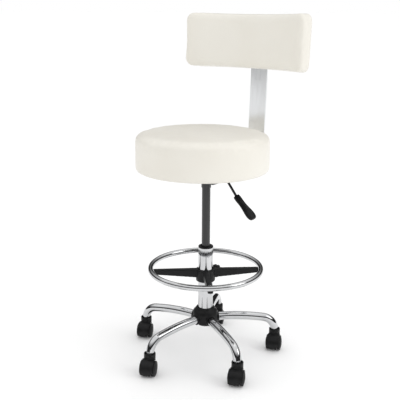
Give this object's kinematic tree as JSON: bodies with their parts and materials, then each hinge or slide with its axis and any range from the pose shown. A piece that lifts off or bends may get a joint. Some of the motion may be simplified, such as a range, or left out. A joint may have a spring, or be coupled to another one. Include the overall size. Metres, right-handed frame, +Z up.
{
  "type": "rolling stylist stool",
  "caption": "Height-adjustable swivel stool with a round padded seat, a curved padded backrest on a bent flat bar, a footring on the column and a star base on twin-wheel casters.",
  "frame": {"origin": "on the floor, under the axis of the column", "axes": "+Z up along the column, +Y from the column towards the backrest, +X to the side that the release lever is on; the sitter faces -Y"},
  "size_m": [0.5228, 0.6014, 1.1374],
  "materials": {
    "chrome": "polished chrome plating",
    "steel": "zinc-plated or bare machined steel",
    "black_steel": "black satin paint",
    "black_plastic": "moulded black nylon, fine texture with a soft shine",
    "leatherette": "cream-white leatherette with a fine grain, satin",
    "plywood": "unfinished plywood",
    "lining": "black non-woven lining",
    "rubber": "black rubber"
  },
  "bodies": {
    "base": {"hub_core": "steel", "hub_cover": "black_plastic", "hub_cap": "black_plastic", "leg_1": "chrome", "leg_2": "chrome", "leg_3": "chrome", "leg_4": "chrome", "leg_5": "chrome", "leg_sockets": "steel", "caster_stems": "steel", "column_tube": "chrome", "guide_bush": "black_plastic", "thrust_bearing": "steel"},
    "piston": {"piston_rod": "steel", "piston_head": "steel", "rod_buffer": "rubber", "rod_clip": "steel"},
    "seat": {"gas_cylinder": "black_steel", "cylinder_seal": "rubber", "seat_plate": "black_steel", "taper_socket": "black_steel", "seat_bolts": "steel", "lever_pin": "steel", "seat_board": "plywood", "seat_cushion": "leatherette", "seat_underside": "lining", "back_bar": "chrome", "back_spacer": "black_plastic", "back_board": "plywood", "back_bolts": "steel", "back_cushion": "leatherette"},
    "lever": {"lever_rod": "black_steel", "lever_handle": "black_plastic"},
    "button": {"release_button": "black_steel"},
    "footring": {"foot_ring": "chrome", "foot_spider": "black_plastic", "ring_screws": "steel"},
    "knob": {"clamp_knob": "black_plastic", "clamp_screw": "steel"},
    "caster_1": {"caster_1_hood": "black_plastic", "caster_1_axle": "steel"},
    "wheel_1a": {"caster_1_wheel_a": "black_plastic"},
    "wheel_1b": {"caster_1_wheel_b": "black_plastic"},
    "caster_2": {"caster_2_hood": "black_plastic", "caster_2_axle": "steel"},
    "wheel_2a": {"caster_2_wheel_a": "black_plastic"},
    "wheel_2b": {"caster_2_wheel_b": "black_plastic"},
    "caster_3": {"caster_3_hood": "black_plastic", "caster_3_axle": "steel"},
    "wheel_3a": {"caster_3_wheel_a": "black_plastic"},
    "wheel_3b": {"caster_3_wheel_b": "black_plastic"},
    "caster_4": {"caster_4_hood": "black_plastic", "caster_4_axle": "steel"},
    "wheel_4a": {"caster_4_wheel_a": "black_plastic"},
    "wheel_4b": {"caster_4_wheel_b": "black_plastic"},
    "caster_5": {"caster_5_hood": "black_plastic", "caster_5_axle": "steel"},
    "wheel_5a": {"caster_5_wheel_a": "black_plastic"},
    "wheel_5b": {"caster_5_wheel_b": "black_plastic"}
  },
  "joints": [
    {"name": "seat_swivel", "type": "hinge", "parent": "base", "child": "piston", "pos_m": [0, 0, 0.117], "axis": [0, 0, 1], "continuous": true},
    {"name": "seat_height", "type": "slide", "parent": "piston", "child": "seat", "axis": [0, 0, 1], "range_m": [-0.175, 0]},
    {"name": "lever_lift", "type": "hinge", "parent": "seat", "child": "lever", "pos_m": [0.043, 0, 0.6314], "axis": [0, -1, 0], "range_deg": [0, 4], "stiffness_Nm_per_rad": 1, "springref_deg": -5.73},
    {"name": "button_press", "type": "slide", "parent": "seat", "child": "button", "axis": [0, 0, 1], "range_m": [-0.0035, 0]},
    {"name": "footring_height", "type": "slide", "parent": "base", "child": "footring", "axis": [0, 0, 1], "range_m": [-0.095, 0.07]},
    {"name": "knob_turn", "type": "hinge", "parent": "footring", "child": "knob", "pos_m": [0.00183, 0.04997, 0.276], "axis": [0.0366, 0.9993, 0], "range_deg": [0, 360]},
    {"name": "caster_1_swivel", "type": "hinge", "parent": "base", "child": "caster_1", "pos_m": [0.17283, 0.17223, 0.06], "axis": [0, 0, 1], "continuous": true},
    {"name": "wheel_1a_roll", "type": "hinge", "parent": "caster_1", "child": "wheel_1a", "pos_m": [0.18084, 0.15611, 0.025], "axis": [0.8957, 0.4446, 0], "continuous": true},
    {"name": "wheel_1b_roll", "type": "hinge", "parent": "caster_1", "child": "wheel_1b", "pos_m": [0.18084, 0.15611, 0.025], "axis": [0.8957, 0.4446, 0], "continuous": true},
    {"name": "caster_2_swivel", "type": "hinge", "parent": "base", "child": "caster_2", "pos_m": [-0.11039, 0.2176, 0.06], "axis": [0, 0, 1], "continuous": true},
    {"name": "wheel_2a_roll", "type": "hinge", "parent": "caster_2", "child": "wheel_2a", "pos_m": [-0.10239, 0.20148, 0.025], "axis": [0.8957, 0.4446, 0], "continuous": true},
    {"name": "wheel_2b_roll", "type": "hinge", "parent": "caster_2", "child": "wheel_2b", "pos_m": [-0.10239, 0.20148, 0.025], "axis": [0.8957, 0.4446, 0], "continuous": true},
    {"name": "caster_3_swivel", "type": "hinge", "parent": "base", "child": "caster_3", "pos_m": [-0.24106, -0.03775, 0.06], "axis": [0, 0, 1], "continuous": true},
    {"name": "wheel_3a_roll", "type": "hinge", "parent": "caster_3", "child": "wheel_3a", "pos_m": [-0.23306, -0.05387, 0.025], "axis": [0.8957, 0.4446, 0], "continuous": true},
    {"name": "wheel_3b_roll", "type": "hinge", "parent": "caster_3", "child": "wheel_3b", "pos_m": [-0.23306, -0.05387, 0.025], "axis": [0.8957, 0.4446, 0], "continuous": true},
    {"name": "caster_4_swivel", "type": "hinge", "parent": "base", "child": "caster_4", "pos_m": [-0.03859, -0.24093, 0.06], "axis": [0, 0, 1], "continuous": true},
    {"name": "wheel_4a_roll", "type": "hinge", "parent": "caster_4", "child": "wheel_4a", "pos_m": [-0.03059, -0.25705, 0.025], "axis": [0.8957, 0.4446, 0], "continuous": true},
    {"name": "wheel_4b_roll", "type": "hinge", "parent": "caster_4", "child": "wheel_4b", "pos_m": [-0.03059, -0.25705, 0.025], "axis": [0.8957, 0.4446, 0], "continuous": true},
    {"name": "caster_5_swivel", "type": "hinge", "parent": "base", "child": "caster_5", "pos_m": [0.21721, -0.11115, 0.06], "axis": [0, 0, 1], "continuous": true},
    {"name": "wheel_5a_roll", "type": "hinge", "parent": "caster_5", "child": "wheel_5a", "pos_m": [0.22521, -0.12728, 0.025], "axis": [0.8957, 0.4446, 0], "continuous": true},
    {"name": "wheel_5b_roll", "type": "hinge", "parent": "caster_5", "child": "wheel_5b", "pos_m": [0.22521, -0.12728, 0.025], "axis": [0.8957, 0.4446, 0], "continuous": true}
  ],
  "couplings": [
    {"joint": "button_press", "follows": "lever_lift", "m_per_rad": -0.045}
  ]
}
